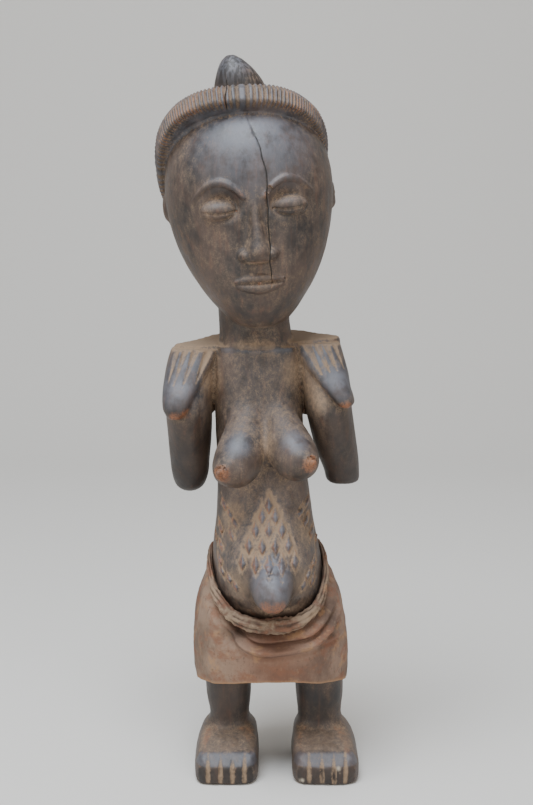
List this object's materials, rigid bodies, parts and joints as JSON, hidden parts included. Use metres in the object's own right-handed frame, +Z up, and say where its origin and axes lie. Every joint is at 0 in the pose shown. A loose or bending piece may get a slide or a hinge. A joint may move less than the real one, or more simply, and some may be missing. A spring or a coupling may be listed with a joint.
{
  "type": "carved ancestor figure",
  "caption": "Standing carved hardwood ancestor figure with ribbed hair band, hands raised to the shoulders, studded belly and a rolled hide wrapper.",
  "frame": {"origin": "on the ground, under the middle of the figure's bounding box", "axes": "+Z up through the head, -Y out of the chest, +X towards the figure's own left hand"},
  "size_m": [0.1316, 0.1236, 0.4663],
  "materials": {
    "dark_wood": "oiled and handled to a low sheen, worn reddish on the edges",
    "hide": "matt, stiffened and dusty"
  },
  "bodies": {
    "root": {"figure": "dark_wood", "wrapper": "hide"}
  },
  "joints": []
}
